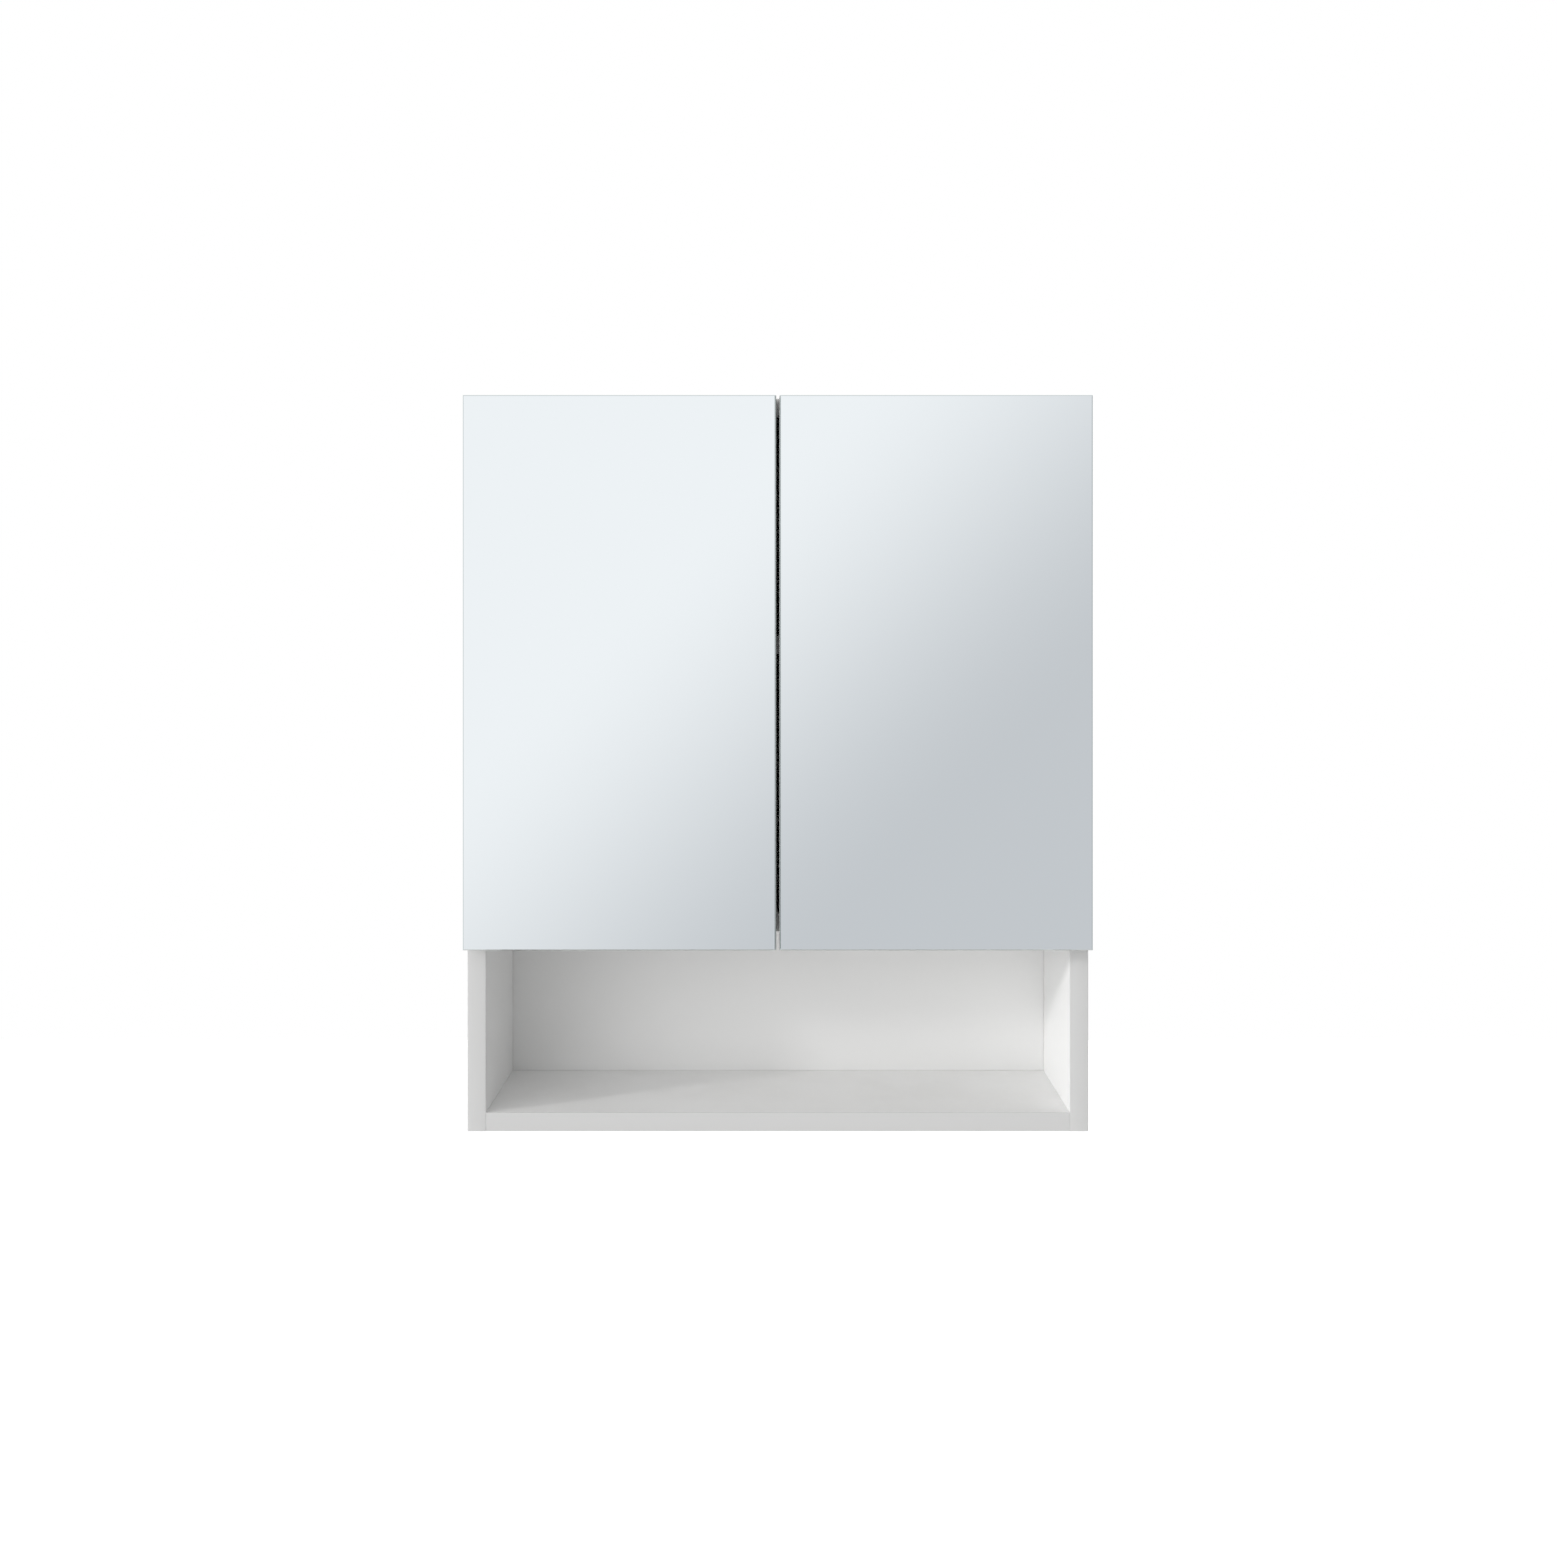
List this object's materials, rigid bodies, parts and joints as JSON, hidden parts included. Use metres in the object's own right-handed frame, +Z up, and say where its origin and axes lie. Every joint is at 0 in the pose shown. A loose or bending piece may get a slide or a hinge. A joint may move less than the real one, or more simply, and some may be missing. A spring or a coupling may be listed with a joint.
{
  "type": "hanging wall cabinet",
  "caption": "Shallow white bathroom wall cabinet: mirrored doors on cup hinges open sideways over a shelf, with an open niche below; it hangs from adjustable hooks on wall plates.",
  "frame": {"origin": "on the wall plane, on the cabinet's centre line, at the height where the hanger hooks bear on the lips of the wall plates, 38 mm below the cabinet's top", "axes": "+Z up, +Y into the wall, the doors face -Y, +X to the right of someone who faces the doors"},
  "size_m": [0.6, 0.174, 0.708],
  "materials": {
    "white_melamine": "satin",
    "white_hardboard": "matte",
    "mirror": "polished",
    "nickel_steel": "polished",
    "zinc": "satin",
    "white_plastic": "satin",
    "clear_bumper": "soft"
  },
  "bodies": {
    "carcass": {"side_panel_left": "white_melamine", "side_panel_right": "white_melamine", "top_panel": "white_melamine", "divider_panel": "white_melamine", "bottom_panel": "white_melamine", "back_panel": "white_hardboard", "shelf": "white_melamine", "shelf_pin_front_left": "zinc", "shelf_pin_front_right": "zinc", "shelf_pin_rear_left": "zinc", "shelf_pin_rear_right": "zinc", "cam_bolt_top_front_left": "zinc", "cam_bolt_top_front_right": "zinc", "cam_bolt_top_rear_left": "zinc", "cam_bolt_top_rear_right": "zinc", "cam_bolt_divider_front_left": "zinc", "cam_bolt_divider_front_right": "zinc", "cam_bolt_divider_rear_left": "zinc", "cam_bolt_divider_rear_right": "zinc", "cam_bolt_bottom_front_left": "zinc", "cam_bolt_bottom_front_right": "zinc", "cam_bolt_bottom_rear_left": "zinc", "cam_bolt_bottom_rear_right": "zinc", "hinge_plate_upper_left": "nickel_steel", "hinge_plate_upper_right": "nickel_steel", "hinge_plate_lower_left": "nickel_steel", "hinge_plate_lower_right": "nickel_steel", "hinge_arm_upper_left": "nickel_steel", "hinge_arm_upper_right": "nickel_steel", "hinge_arm_lower_left": "nickel_steel", "hinge_arm_lower_right": "nickel_steel", "door_bumper_upper_left": "clear_bumper", "door_bumper_upper_right": "clear_bumper", "door_bumper_lower_left": "clear_bumper", "door_bumper_lower_right": "clear_bumper", "hanger_housing_left": "white_plastic", "hanger_housing_right": "white_plastic", "hanger_adjuster_left": "zinc", "hanger_adjuster_right": "zinc"},
    "outer_links_left": {"hinge_outer_link_upper_left": "nickel_steel", "hinge_outer_link_lower_left": "nickel_steel"},
    "door_left": {"door_panel_left": "white_melamine", "mirror_left": "mirror", "hinge_cup_upper_left": "nickel_steel", "hinge_cup_lower_left": "nickel_steel"},
    "inner_links_left": {"hinge_inner_link_upper_left": "nickel_steel", "hinge_inner_link_lower_left": "nickel_steel"},
    "hanger_left": {"hanger_hook_left": "zinc", "wall_plate_left": "zinc"},
    "outer_links_right": {"hinge_outer_link_upper_right": "nickel_steel", "hinge_outer_link_lower_right": "nickel_steel"},
    "door_right": {"door_panel_right": "white_melamine", "mirror_right": "mirror", "hinge_cup_upper_right": "nickel_steel", "hinge_cup_lower_right": "nickel_steel"},
    "inner_links_right": {"hinge_inner_link_upper_right": "nickel_steel", "hinge_inner_link_lower_right": "nickel_steel"},
    "hanger_right": {"hanger_hook_right": "zinc", "wall_plate_right": "zinc"}
  },
  "joints": [
    {"name": "door_left_on_links", "type": "hinge", "parent": "outer_links_left", "child": "door_left", "pos_m": [-0.2882, -0.1562, 0], "axis": [0, 0, -1], "range_deg": [0, 131.1]},
    {"name": "outer_links_left_on_arms", "type": "hinge", "parent": "carcass", "child": "outer_links_left", "pos_m": [-0.2656, -0.1534, 0], "axis": [0, 0, -1], "range_deg": [-36.4, 0]},
    {"name": "inner_links_left_on_arms", "type": "hinge", "parent": "carcass", "child": "inner_links_left", "pos_m": [-0.2672, -0.1618, 0], "axis": [0, 0, -1], "range_deg": [-18.4, 0]},
    {"name": "hanger_left_height", "type": "slide", "parent": "carcass", "child": "hanger_left", "axis": [0, 0, 1], "range_m": [-0.006, 0.006]},
    {"name": "door_right_on_links", "type": "hinge", "parent": "outer_links_right", "child": "door_right", "pos_m": [0.2882, -0.1562, 0], "axis": [0, 0, 1], "range_deg": [0, 131.1]},
    {"name": "outer_links_right_on_arms", "type": "hinge", "parent": "carcass", "child": "outer_links_right", "pos_m": [0.2656, -0.1534, 0], "axis": [0, 0, 1], "range_deg": [-36.4, 0]},
    {"name": "inner_links_right_on_arms", "type": "hinge", "parent": "carcass", "child": "inner_links_right", "pos_m": [0.2672, -0.1618, 0], "axis": [0, 0, 1], "range_deg": [-18.4, 0]},
    {"name": "hanger_right_height", "type": "slide", "parent": "carcass", "child": "hanger_right", "axis": [0, 0, 1], "range_m": [-0.006, 0.006]}
  ],
  "couplings": [
    {"joint": "outer_links_left_on_arms", "follows": "door_left_on_links", "ratio": -0.27536},
    {"joint": "inner_links_left_on_arms", "follows": "door_left_on_links", "ratio": -0.13768},
    {"joint": "outer_links_right_on_arms", "follows": "door_right_on_links", "ratio": -0.27536},
    {"joint": "inner_links_right_on_arms", "follows": "door_right_on_links", "ratio": -0.13768}
  ]
}
